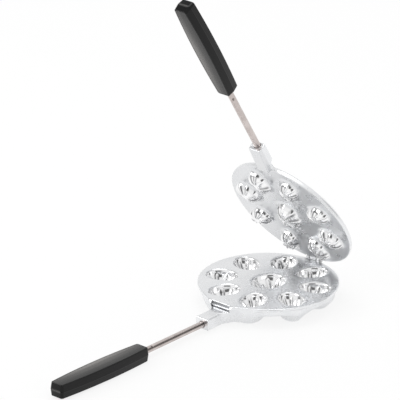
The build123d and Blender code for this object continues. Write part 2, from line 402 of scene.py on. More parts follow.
@dataclass(frozen=True)
class Bakelite:
    """Black moulded bakelite, glossy, with flow marks, and a painted sheen on its flats and its far end."""

    colour: Colour = (0.004, 0.004, 0.0042, 1.0)
    # painted sheen colour on the flats and the far end
    sheen_colour: Colour = (0.30, 0.29, 0.28, 1.0)
    roughness: float = 0.16
    sheen_roughness: float = 0.3
    specular: float = 0.22
    streak_scale: Triple = (9.0, 170.0, 170.0)
    streak_detail: float = 3.0
    flow_scale: Triple = (25.0, 260.0, 260.0)
    flow_detail: float = 4.0
    flow_roughness: float = 0.2
    flow_depth: float = 0.00012
    flat_from: float = 0.0074
    flat_gain: float = 6000.0
    half_width: float = 0.0115
    middle: float = 0.058
    reach: float = 0.095
    sheen_least: float = 0.35
    sheen_streak: float = 1.1
    end_from: float = 0.1366
    end_gain: float = 4000.0
    end_sheen: float = 0.6

    def material(self) -> bpy.types.Material:
        """Makes the material.

        Returns:
            The material.
        """
        shader = Shader("bakelite")
        flow = shader.noise(1.0, self.flow_detail, shader.stretched(self.flow_scale))
        streak = shader.noise(1.0, self.streak_detail, shader.stretched(self.streak_scale))
        split = shader.node("ShaderNodeSeparateXYZ", None, {"Vector": shader.own_place()})
        along, across, up = (Value(shader, socket) for socket in split.outputs)
        # painted sheen on the flat faces, brightest towards the +Y edge and at mid-length, broken by streaks
        flat = abs(up).ramped(self.flat_from, self.flat_gain)
        side = (across / self.half_width * 0.5 + 0.5).clipped()
        off = (along - self.middle) / self.reach
        sheen = flat * side * side * (1 - off * off).clipped()
        sheen = (sheen * (self.sheen_least + streak * self.sheen_streak)).clipped()
        # painted sheen on the far end face
        end = along.ramped(self.end_from, self.end_gain) * self.end_sheen
        share = (sheen + end * streak).clipped()
        roughness = self.roughness + share * self.sheen_roughness
        return shader.dress(
            Base_Color=shader.blend(share, self.colour, self.sheen_colour),
            Roughness=roughness + (flow - NOISE_MIDDLE) * self.flow_roughness,
            Specular_IOR_Level=self.specular,
            Normal=shader.bump(flow, self.flow_depth),
        )


# Distance formulas


def round_both(a: Array, b: Array, radius: float) -> Array:
    """Distance to what lies in both shapes, with a round edge where they meet."""
    corner = np.hypot(np.maximum(a + radius, 0), np.maximum(b + radius, 0))
    return corner + np.minimum(np.maximum(a, b), -radius)


def soft_join(a: Array, b: Array, reach: float) -> Array:
    """Distance to both shapes together, with a soft root where they meet."""
    near = np.maximum(reach - np.abs(a - b), 0) / reach
    return np.minimum(a, b) - near * near * reach / 4


def soft_cut(a: Array, b: Array, reach: float) -> Array:
    """Distance to the first shape without the second, with a soft lip."""
    return -soft_join(-a, b, reach)


def slab(plan: Array, height: Array, low: float, high: float, radius: float) -> Array:
    """Distance to a plan drawn up between two levels, with round edges."""
    level = np.abs(height - (low + high) / 2) - (high - low) / 2
    return round_both(plan, level, radius)


def loaf(u: Array, v: Array, w: Array, half: Triple, power: float) -> Array:
    """A near distance to an ellipsoid whose flanks run straighter along its first axis.

    Args:
        u: places along the first axis.
        v: places along the second.
        w: places along the third.
        half: the half axes.
        power: 2 for an ellipsoid, more for straighter flanks.

    Returns:
        The distance.
    """
    a, b, c = half
    along = np.abs(u) / a
    outer = np.sqrt(along**power + (v / b) ** 2 + (w / c) ** 2) + LEAST_SIZE
    steep = power / 2 * along ** (power - 1) / a
    slope = np.sqrt(steep**2 + (v / b**2) ** 2 + (w / c**2) ** 2) + LEAST_SLOPE
    return outer * (outer - 1) / slope


def oblong(x: Array, y: Array, low: Pair, high: Pair) -> Array:
    """Distance to an upright rectangle.

    Args:
        x: places along the first axis.
        y: places along the second.
        low: the lower corner.
        high: the upper corner.

    Returns:
        The distance.
    """
    across = np.abs(x - (low[0] + high[0]) / 2) - (high[0] - low[0]) / 2
    along = np.abs(y - (low[1] + high[1]) / 2) - (high[1] - low[1]) / 2
    outside = np.hypot(np.maximum(across, 0), np.maximum(along, 0))
    return outside + np.minimum(np.maximum(across, along), 0)


def convex(x: Array, y: Array, corners: list[Pair]) -> Array:
    """Distance to a convex outline.

    Args:
        x: places along the first axis.
        y: places along the second.
        corners: the corners, listed clockwise.

    Returns:
        The distance.
    """
    far = np.full(np.shape(x), -np.inf)
    for (ax, ay), (bx, by) in zip(corners, corners[1:] + corners[:1], strict=True):
        length = np.hypot(bx - ax, by - ay)
        far = np.maximum(far, ((bx - ax) * (y - ay) - (by - ay) * (x - ax)) / length)
    return far


def eased(share: Array) -> Array:
    """A share from 0 to 1 with soft ends."""
    return share * share * (3 - 2 * share)


@dataclass
class NetMesh:
    """Points, quads and normals of a meshed formula."""

    points: Array
    quads: Array
    normals: Array


@dataclass
class FormulaMesher:
    """Meshes the zero level of a distance formula with quads."""

    low: Triple
    high: Triple
    cell: float
    margin: float = 2.0
    probe: float = 0.02
    least_slope: float = 0.2
    settling_steps: int = 4

    def mesh(self, formula: "Casting") -> NetMesh:
        """Meshes a casting.

        Args:
            formula: what gives the distance.

        Returns:
            The mesh, in millimetres.
        """
        room = self.margin * self.cell
        ends = zip(self.low, self.high, strict=True)
        axes = [np.arange(low - room, high + room + self.cell / 2, self.cell) for low, high in ends]
        grid = np.meshgrid(*axes, indexing="ij", sparse=True)
        values = formula.distance(*grid).astype(np.float32)
        inside = values < 0
        points, index = self._points(values, inside, np.array([axis[0] for axis in axes]))
        quads = self._quads(inside, index)
        for _ in range(self.settling_steps):
            normals, slope = self._normals(formula, points)
            step = np.clip(formula.distance(*points.T) / slope, -self.cell / 2, self.cell / 2)
            points = points - step[:, None] * normals
        normals, _ = self._normals(formula, points)
        return NetMesh(points, quads, normals)

    def _points(self, values: Array, inside: Array, start: Array) -> tuple[Array, Array]:
        """Puts one point in each cell that the surface crosses.

        Args:
            values: distances at the grid's corners.
            inside: which corners are inside.
            start: the grid's first corner.

        Returns:
            The points, and each cell's point number.
        """
        shape = tuple(n - 1 for n in values.shape)
        offsets = list(product((0, 1), repeat=3))
        count = np.zeros(shape, np.int8)
        for i, j, k in offsets:
            count += inside[i : i + shape[0], j : j + shape[1], k : k + shape[2]]
        cells = np.argwhere((count > 0) & (count < len(offsets)))
        index = np.full(shape, -1, np.int64)
        index[tuple(cells.T)] = np.arange(len(cells))
        corner = {o: values[tuple((cells + o).T)] for o in offsets}
        total = np.zeros((len(cells), 3))
        crossings = np.zeros(len(cells))
        for a, axis in product(offsets, range(3)):
            if a[axis]:
                continue
            b = tuple(1 if n == axis else a[n] for n in range(3))
            crossed = (corner[a] < 0) != (corner[b] < 0)
            gap = np.where(crossed, corner[a] - corner[b], 1.0)
            place = np.tile(np.array(a, float), (len(cells), 1))
            place[:, axis] = corner[a] / gap
            total += place * crossed[:, None]
            crossings += crossed
        return start + (cells + total / crossings[:, None]) * self.cell, index

    def _quads(self, inside: Array, index: Array) -> Array:
        """Lays a quad across each grid edge that the surface crosses.

        Args:
            inside: which corners are inside.
            index: each cell's point number.

        Returns:
            The quads.
        """
        found = []
        for axis in range(3):
            lower = [slice(1, -1)] * 3
            upper = [slice(1, -1)] * 3
            lower[axis] = slice(0, -1)
            upper[axis] = slice(1, None)
            first = inside[tuple(lower)]
            crossed = np.argwhere(first != inside[tuple(upper)])
            leaving = first[tuple(crossed.T)]
            base = crossed + [0 if n == axis else 1 for n in range(3)]
            b = np.eye(3, dtype=int)[(axis + 1) % 3]
            c = np.eye(3, dtype=int)[(axis + 2) % 3]
            ring = [index[tuple((base - s).T)] for s in (b + c, c, 0 * b, b)]
            quads = np.stack(ring, axis=1)
            quads[~leaving] = quads[~leaving][:, ::-1]
            found.append(quads)
        return np.concatenate(found)

    def _normals(self, formula: "Casting", points: Array) -> tuple[Array, Array]:
        """Measures the formula's slope at points.

        Args:
            formula: what gives the distance.
            points: the points.

        Returns:
            Unit normals and the slope's size.
        """
        parts = []
        for axis in np.eye(3) * self.probe:
            ahead = formula.distance(*(points + axis).T)
            behind = formula.distance(*(points - axis).T)
            parts.append((ahead - behind) / (2 * self.probe))
        slope = np.stack(parts, axis=1)
        size = np.maximum(np.linalg.norm(slope, axis=1), self.least_slope)
        return slope / size[:, None], size


# What the pieces share


@dataclass
class Nuts:
    """Eight nuts in a ring and one in the middle, all half sunk in the mating face."""

    ring_radius: float = 54.0
    ring_count: int = 8
    first_angle: float = radians(22.5)
    ring_half: Triple = (17.5, 13.0, 16.0)
    centre_half: Triple = (20.0, 17.0, 17.0)
    centre_number: float = 0.4

    def depths(self, less: float = 0.0) -> Pair:
        """Depth of a ring nut and of the centre one, both less by some length."""
        return self.ring_half[2] - less, self.centre_half[2] - less

    def local(self, x: Array, y: Array) -> tuple[Array, Array, Array]:
        """Turns places to how the nearest ring nut sees them.

        Args:
            x: places along X.
            y: places along Y.

        Returns:
            Places along its length and across it, and its number.
        """
        pitch = 2 * pi / self.ring_count
        number = np.round((np.arctan2(y, x) - self.first_angle) / pitch)
        angle = self.first_angle + number * pitch
        u = x * np.cos(angle) + y * np.sin(angle) - self.ring_radius
        v = y * np.cos(angle) - x * np.sin(angle)
        return u, v, number

    def shares(self, x: Array, y: Array) -> tuple[Array, Array, Array]:
        """Turns places to shares of the nearest nut's half axes.

        Args:
            x: places along X.
            y: places along Y.

        Returns:
            The share along it and across it, and its number.
        """
        u, v, number = self.local(x, y)
        middle = np.hypot(x, y) < self.ring_radius / 2
        s = np.where(middle, x / self.centre_half[0], u / self.ring_half[0])
        t = np.where(middle, y / self.centre_half[1], v / self.ring_half[1])
        return s, t, np.where(middle, self.centre_number, number)

    def forms(
        self, x: Array, y: Array, w: Array, grown: float, depths: Pair, power: float = 2.0
    ) -> Array:
        """All nuts, each larger or smaller than the hollow.

        Args:
            x: places along X.
            y: places along Y.
            w: places above the face.
            grown: how much larger on every side.
            depths: depth of a ring nut and of the centre one.
            power: how straight their flanks run, 2 for ellipsoids.

        Returns:
            The distance.
        """
        u, v, _ = self.local(x, y)
        ring = (self.ring_half[0] + grown, self.ring_half[1] + grown, depths[0])
        centre = (self.centre_half[0] + grown, self.centre_half[1] + grown, depths[1])
        return np.minimum(loaf(u, v, w, ring, power), loaf(x, y, w, centre, power))


@dataclass
class ShellRelief:
    """The lobes of a walnut's shell, parted by ridges that run from the lip to the floor."""

    lobes: int = 8
    ridge_height: float = 1.1
    ridge_width: float = 0.45
    wander: float = 0.5
    wander_turns: float = 4.0
    sway: float = 0.35
    nut_shift: float = 1.7
    crease_place: float = 0.5
    crease_width: float = 0.26
    crease_shade: float = 1.0
    crease_fadings: float = 3.0
    fading_shift: float = 2.3
    floor: Pair = (0.1, 0.4)
    lip: Pair = (0.8, 1.0)

    def turned(self, s: Array, t: Array, number: Array) -> tuple[Array, Array]:
        """Finds where a place lies between the ridges, and how far it is from floor and lip.

        Args:
            s: place along the nut, -1 to 1.
            t: place across it, -1 to 1.
            number: the nut's number, which shifts its lobes.

        Returns:
            0 on a ridge and 1 or -1 between two, and 0 to 1 for the relief's strength.
        """
        phase = number * self.nut_shift
        far = np.sqrt(s * s + t * t)
        angle = np.arctan2(t, s)
        bend = angle * self.lobes / 2 + self.wander * np.sin(self.wander_turns * far + phase)
        bend = bend + self.sway * np.sin(2 * angle + phase)
        start = np.clip((far - self.floor[0]) / (self.floor[1] - self.floor[0]), 0, 1)
        stop = np.clip((self.lip[1] - far) / (self.lip[1] - self.lip[0]), 0, 1)
        return np.sin(bend), eased(start) * eased(stop)

    def painted_shade(self, s: Array, t: Array, number: Array) -> Array:
        """Finds how much painted dark reflection lies beside the ridges.

        Args:
            s: place along the nut, -1 to 1.
            t: place across it, -1 to 1.
            number: the nut's number.

        Returns:
            The share, 0 to 1.
        """
        between, strength = self.turned(s, t, number)
        beside = np.exp(-(((np.abs(between) - self.crease_place) / self.crease_width) ** 2))
        turn = self.crease_fadings * np.arctan2(t, s) + number * self.fading_shift
        return self.crease_shade * beside * (0.5 + 0.5 * np.sin(turn)) * strength

    def height(self, s: Array, t: Array, number: Array) -> Array:
        """How far the shell stands out, in millimetres, at places given as in turned."""
        between, strength = self.turned(s, t, number)
        return strength * self.ridge_height * np.exp(-((between / self.ridge_width) ** 2))


@dataclass
class Plan:
    """The lower plate's outline: a disc drawn out by tangent lines to the socket block."""

    radius: float = 78.0
    neck_tip: float = 85.0
    tip_half: float = 8.5

    def turn(self) -> float:
        """Angle from the handle at which the tangent lines leave the disc."""
        reach = np.hypot(self.neck_tip, self.tip_half)
        return np.arctan2(self.tip_half, self.neck_tip) + np.arccos(self.radius / reach)

    def disc(self, x: Array, y: Array) -> Array:
        """Distance to the plain disc."""
        return np.hypot(x, y) - self.radius

    def drawn_out(self, x: Array, y: Array) -> Array:
        """Distance to the disc drawn out into its neck.

        Args:
            x: places along X.
            y: places along Y.

        Returns:
            The distance.
        """
        turn = self.turn()
        wide = np.abs(y)
        side = -x * sin(turn) - wide * cos(turn)
        flank = wide * sin(turn) - x * cos(turn) - self.radius
        return np.where(side < 0, self.disc(x, y), np.maximum(flank, -x - self.neck_tip))


@dataclass
class Hinge:
    """The hinge that both castings share."""

    x: float = 79.0
    z: float = 24.0
    eye: float = 3.7
    swing: float = 4.1
    bore: float = 1.7
    knuckle_half: float = 4.5
    slot_half: float = 4.8
    yoke_half: float = 9.3
    pin_half: float = 11.2
    head_room: float = 3.1
    ear_root: float = 10.0
    ear_foot: float = 5.0
    ear_top: float = 0.25
    ear_slope: Pair = (2.78, -2.44)
    opening: float = 58.3

    def from_pin(self, x: Array, z: Array) -> tuple[Array, Array, Array]:
        """Places along X and Z from the pin, and the distance from its axis."""
        return x - self.x, z - self.z, np.hypot(x - self.x, z - self.z)

    def opened(self, points: Array) -> Array:
        """Turns points or directions, seen from the pin, from the closed to the open lid."""
        turn = Matrix.Rotation(radians(self.opening), 3, "Y")
        return points @ np.array(turn).T

    def placed(self, points: Array) -> Array:
        """Turns the closed lid's points about the pin to the open lid."""
        axis = np.array([self.x, 0.0, self.z])
        return self.opened(points - axis) + axis


def store(piece: bpy.types.Object, mark: Mark, values: Array) -> None:
    """Stores a number or a place on each point of a piece.

    Args:
        piece: the piece.
        mark: the name that it is stored under.
        values: a row of numbers, or rows of three for places in metres.
    """
    kind, key = ("FLOAT", "value") if values.ndim == 1 else ("FLOAT_VECTOR", "vector")
    attribute = piece.data.attributes.new(mark.value, kind, "POINT")
    attribute.data.foreach_set(key, np.ascontiguousarray(values, np.float32).ravel())


def bands(levels: int, count: int) -> list[tuple[int, ...]]:
    """Faces between rings of points.

    Args:
        levels: how many rings there are.
        count: how many points each ring has.

    Returns:
        The point numbers of each face.
    """
    faces = []
    for level, at in product(range(levels - 1), range(count)):
        a = level * count + at
        b = level * count + (at + 1) % count
        faces.append((a, b, b + count, a + count))
    return faces


def capped(levels: int, count: int) -> list[tuple[int, ...]]:
    """Faces between rings of points, and one over each end."""
    top = (levels - 1) * count
    return [*bands(levels, count), tuple(range(count))[::-1], tuple(range(top, top + count))]


@dataclass(kw_only=True)
class Piece:
    """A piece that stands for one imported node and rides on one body."""

    name: str
    node: str
    body: Body
    slot: Slot
    hinge: Hinge = field(default_factory=Hinge)

    def make(
        self, points: Array, faces: Sequence[Sequence[int]], material: bpy.types.Material
    ) -> bpy.types.Object:
        """Makes the piece from the closed iron's points and sets it on its body.

        Args:
            points: its points, in millimetres.
            faces: point numbers of each face.
            material: its finish.

        Returns:
            The piece.
        """
        placed = self.hinge.placed(points) if self.body is Body.LID else points
        mesh = bpy.data.meshes.new(self.name)
        mesh.from_pydata((placed * MM).tolist(), [], faces)
        mesh.validate()
        mesh.polygons.foreach_set("use_smooth", [True] * len(mesh.polygons))
        mesh.materials.append(material)
        piece = bpy.data.objects.new(self.name, mesh)
        bpy.context.scene.collection.objects.link(piece)
        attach(piece, self.body.value)
        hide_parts(self.node)
        log.info("%s: %d faces on %s", self.name, len(mesh.polygons), self.body.value)
        return piece


@dataclass(kw_only=True)
class Casting(Piece):
    """What the lower plate and the lid have in common."""

    slot: Slot = Slot.ALUMINIUM
    plan: Plan = field(default_factory=Plan)
    nuts: Nuts = field(default_factory=Nuts)
    relief: ShellRelief = field(default_factory=ShellRelief)
    face: float
    cell: float
    block_end: float
    rod_rise: float
    edge: float = 0.8
    block_half: float = 8.5
    socket_radius: float = 3.85
    socket_depth: float = 24.0
    socket_lip: float = 0.5
    pin_hole: float = 1.55
    pin_from_end: float = 12.0
    bore_lip: float = 0.3
    ejector_radius: float = 69.4
    ejector_half: float = 2.75
    ejector_depth: float = 0.3
    ejector_lip: float = 0.2

    def distance(self, x: Array, y: Array, z: Array) -> Array:
        """The casting's distance formula; each casting has its own."""
        raise NotImplementedError

    def rod_z(self) -> float:
        """Height of the rod's axis above the floor."""
        return self.face + self.rod_rise

    def ridges(self, x: Array, y: Array) -> Array:
        """How far the shell's relief stands out at places on the mating face."""
        return self.relief.height(*self.nuts.shares(x, y))

    def painted_strokes(self, x: Array, y: Array) -> Array:
        """How much painted dark reflection lies beside the shell's ridges at places on the mating face, 0 to
        1.
        """
        return self.relief.painted_shade(*self.nuts.shares(x, y))

    def ejector_marks(self, x: Array, y: Array, height: Array) -> Array:
        """Distance to the two round marks on the mating face, from a height above it."""
        disc = np.hypot(np.abs(x) - self.ejector_radius, y) - self.ejector_half
        return np.maximum(disc, np.abs(height) - self.ejector_depth)

    def bored(self, shell: Array, x: Array, y: Array, z: Array) -> Array:
        """Bores the rod's socket, and the pin's hole from the rod's axis outwards.

        Args:
            shell: distance so far.
            x: places along X.
            y: places along Y.
            z: heights above the floor.

        Returns:
            The distance.
        """
        above = z - self.rod_z()
        bore = np.maximum(np.hypot(y, above) - self.socket_radius, x + self.block_end - self.socket_depth)
        pin = np.hypot(x + self.block_end - self.pin_from_end, y) - self.pin_hole
        pin = np.maximum(pin, -above * np.sign(self.rod_rise))
        return soft_cut(soft_cut(shell, bore, self.socket_lip), pin, self.bore_lip)

    def dressed(
        self, net: NetMesh, nut: Array, painted_shade: Array, material: bpy.types.Material
    ) -> bpy.types.Object:
        """Makes the piece and stores on it what its finish reads.

        Args:
            net: the closed casting's mesh.
            nut: how much each point belongs to a polished nut.
            painted_shade: how dark each point is.
            material: its finish.

        Returns:
            The piece.
        """
        piece = self.make(net.points, net.quads.tolist(), material)
        normals = self.hinge.opened(net.normals) if self.body is Body.LID else net.normals
        piece.data.normals_split_custom_set_from_vertices(normals.tolist())
        store(piece, Mark.NUT, nut)
        store(piece, Mark.PAINTED_SHADE, painted_shade)
        return piece


@dataclass(kw_only=True)
class LowerPlate(Casting):
    """The lower casting: flange, web, nine cups with shell relief, neck, block and ears."""

    name: str = "lower_casting"
    node: str = "lower_plate"
    body: Body = Body.BASE
    face: float = 22.8
    cell: float = 0.88
    block_end: float = 111.0
    rod_rise: float = -14.9
    flange: float = 3.0
    flange_reach: float = 2.0
    under_top: float = 1.5
    web: float = 11.0
    web_round: float = 2.0
    web_reach: float = 6.0
    overhang: float = 5.5
    cup_wall: float = 4.0
    cup_depth: float = 26.5
    cup_top: float = 2.0
    cup_foot_round: float = 1.2
    cup_reach: float = 9.0
    nut_lip: float = 3.2
    shoulder: float = 79.0
    notch_half: float = 13.0
    notch: float = 7.0
    notch_lip: float = 0.8
    neck_root: float = 60.0
    neck_bottom: float = 20.6
    neck_corner: float = 12.0
    neck_round: float = 3.0
    foot_tip: float = 79.5
    foot_corner: Pair = (63.0, 32.5)
    block_round: float = 1.8
    block_reach: float = 7.0
    outline_reach: float = 6.0
    gusset_reach: float = 1.0
    ear_edge: float = 0.5
    ear_reach: float = 0.6
    slot_lip: float = 0.4
    shade_run: float = 0.7
    shade_spare: float = 0.4
    shade_gain: float = 2.0
    upper_shade: float = 0.72
    upper_shade_span: Pair = (-4.6, -0.45)
    lower_shade: float = 0.95
    lower_shade_top: float = -5.4
    lower_shade_spare: float = 0.6
    # painted shade round the hinge ears: its strength, reach and extent
    grey_shade: float = 0.5
    hinge_shade_reach: float = 8.0
    hinge_shade_run: float = 5.0
    hinge_shade_across: float = 2.2
    hinge_shade_foot: float = -4.0
    stroke_top: float = -0.3
    hollow_fade: float = 1.4

    def distance(self, x: Array, y: Array, z: Array) -> Array:
        """Joins and cuts the lower casting.

        Args:
            x: places along X.
            y: places along Y.
            z: heights above the floor.

        Returns:
            The distance.
        """
        f = z - self.face
        plan = self.plan.drawn_out(x, y)
        shell = slab(plan, f, -self.flange, 0, self.edge)
        web_plan = np.hypot(x, y) - (self.plan.radius - self.overhang)
        web = slab(web_plan, f, -self.web, -self.under_top, self.web_round)
        block_plan = oblong(x, y, (-self.block_end, -self.block_half), (-self.neck_root, self.block_half))
        block = slab(block_plan, f, -self.neck_bottom, -self.notch, self.block_round)
        neck = soft_join(self.neck(x, y, f), block, self.block_reach)
        under = soft_join(soft_join(web, neck, self.web_reach), self.cups(x, y, f), self.cup_reach)
        shell = soft_join(shell, under, self.flange_reach)
        shell = np.maximum(shell, np.maximum(f, soft_join(plan, block_plan, self.outline_reach)))
        shell = soft_cut(shell, self.notched(x, y, f), self.notch_lip)
        shell = soft_cut(shell, self.hollows(x, y, f), self.nut_lip)
        shell = soft_cut(shell, self.ejector_marks(x, y, f), self.ejector_lip)
        return np.maximum(self.bored(self.with_ears(shell, x, y, z), x, y, z), -z)

    def neck(self, x: Array, y: Array, f: Array) -> Array:
        """Draws the neck, flush with the outline above and drawn in at its foot.

        Args:
            x: places along X.
            y: places along Y.
            f: heights above the face.

        Returns:
            The distance.
        """
        share = np.clip((-self.flange - f) / (self.neck_bottom - self.flange), 0, 1)
        turn = self.plan.turn()
        tip = self.plan.neck_tip + (self.foot_tip - self.plan.neck_tip) * share
        root = self.plan.radius * cos(turn)
        root = root + (self.foot_corner[0] - root) * share
        spread = self.plan.radius * sin(turn)
        spread = spread + (self.foot_corner[1] - spread) * share
        rise = spread - self.plan.tip_half
        flank = (np.abs(y) - self.plan.tip_half) * (tip - root) - (x + tip) * rise
        flank = flank / np.hypot(tip - root, rise)
        plan = round_both(flank, x + self.neck_root, self.neck_corner)
        return slab(plan, f, -self.neck_bottom, -self.under_top, self.neck_round)

    def notched(self, x: Array, y: Array, f: Array) -> Array:
        """Draws what is cut away for the lid's neck, and over the two cheeks beside it.

        Args:
            x: places along X.
            y: places along Y.
            f: heights above the face.

        Returns:
            The distance.
        """
        run = self.plan.neck_tip - self.shoulder
        cheek = (self.notch * (x + self.shoulder) - run * f) / np.hypot(self.notch, run)
        over = np.minimum(np.abs(y) - self.notch_half, cheek)
        return np.maximum(np.maximum(x + self.shoulder, -self.notch - f), over)

    def cups(self, x: Array, y: Array, f: Array) -> Array:
        """Distance to the outsides of the nine cups."""
        forms = self.nuts.forms(x, y, f, self.cup_wall, (self.cup_depth, self.cup_depth))
        return np.maximum(round_both(forms, -self.face - f, self.cup_foot_round), f + self.cup_top)

    def hollows(self, x: Array, y: Array, f: Array) -> Array:
        """Distance to the nine hollows with the shell's relief."""
        return self.nuts.forms(x, y, f, 0.0, self.nuts.depths()) + self.ridges(x, y)

    def with_ears(self, shell: Array, x: Array, y: Array, z: Array) -> Array:
        """Adds the hinge ears, the slot between them and the pin's bore.

        Args:
            shell: distance so far.
            x: places along X.
            y: places along Y.
            z: heights above the floor.

        Returns:
            The distance.
        """
        hinge = self.hinge
        a, b, ring = hinge.from_pin(x, z)
        wide = np.abs(y)
        room = np.maximum(ring - hinge.head_room, wide - hinge.pin_half)
        shell = np.maximum(shell, -room)
        rise = hinge.z - self.face
        top = -rise - hinge.ear_top
        foot = -self.web - rise
        corners = [(-hinge.ear_root, top), (0.0, top), hinge.ear_slope]
        corners += [(-hinge.ear_foot, foot), (-hinge.ear_root, foot)]
        outline = soft_join(ring - hinge.eye, convex(a, b, corners), self.gusset_reach)
        ears = slab(outline, y, -hinge.yoke_half, hinge.yoke_half, self.ear_edge)
        shell = soft_join(shell, ears, self.ear_reach)
        slot = np.maximum(-hinge.swing - a, wide - hinge.slot_half)
        shell = soft_cut(shell, slot, self.slot_lip)
        return soft_cut(shell, ring - hinge.bore, self.bore_lip)

    def dark_wall(self, x: Array, y: Array, f: Array) -> Array:
        """Finds how much of the notch's end wall lies in grey shade, darkest at its foot.

        Args:
            x: places along X.
            y: places along Y.
            f: heights above the face.

        Returns:
            The share, 0 to 1.
        """
        near = np.exp(-(((x + self.shoulder) / self.shade_run) ** 2))
        near = near * (np.abs(y) < self.notch_half + self.shade_spare)
        start, end = self.upper_shade_span
        upper = self.upper_shade * np.clip((f - start) * self.shade_gain, 0, 1) * (f < end)
        lower = self.lower_shade * np.clip((self.lower_shade_top - f) * self.shade_gain, 0, 1)
        lower = lower * (f > -self.notch - self.lower_shade_spare)
        return near * np.maximum(upper, lower)

    def hinge_shade(self, x: Array, y: Array, f: Array) -> Array:
        """How much painted shade lies on the ears and their surroundings, 0 to 1."""
        far = np.hypot(x - self.hinge.x, y / self.hinge_shade_across)
        return self.grey_shade * np.clip((self.hinge_shade_reach - far) / self.hinge_shade_run, 0, 1) * (f > self.hinge_shade_foot)

    def build(self, material: bpy.types.Material) -> bpy.types.Object:
        """Meshes the casting and dresses it.

        Args:
            material: its finish.

        Returns:
            The piece.
        """
        low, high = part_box("lower_plate")
        net = FormulaMesher(tuple(low / MM), tuple(high / MM), self.cell).mesh(self)
        x, y, z = net.points.T
        f = z - self.face
        inside = 1 - np.clip(self.hollows(x, y, f) / self.hollow_fade, 0, 1)
        # painted dark reflections beside the ridges, only deep inside the hollows
        painted_strokes = self.painted_strokes(x, y) * (f < self.stroke_top) * inside
        # painted shade on the notch's end wall and round the hinge ears
        grey_shade = np.maximum(self.dark_wall(x, y, f), self.hinge_shade(x, y, f))
        return self.dressed(net, inside, np.maximum(grey_shade, painted_strokes), material)


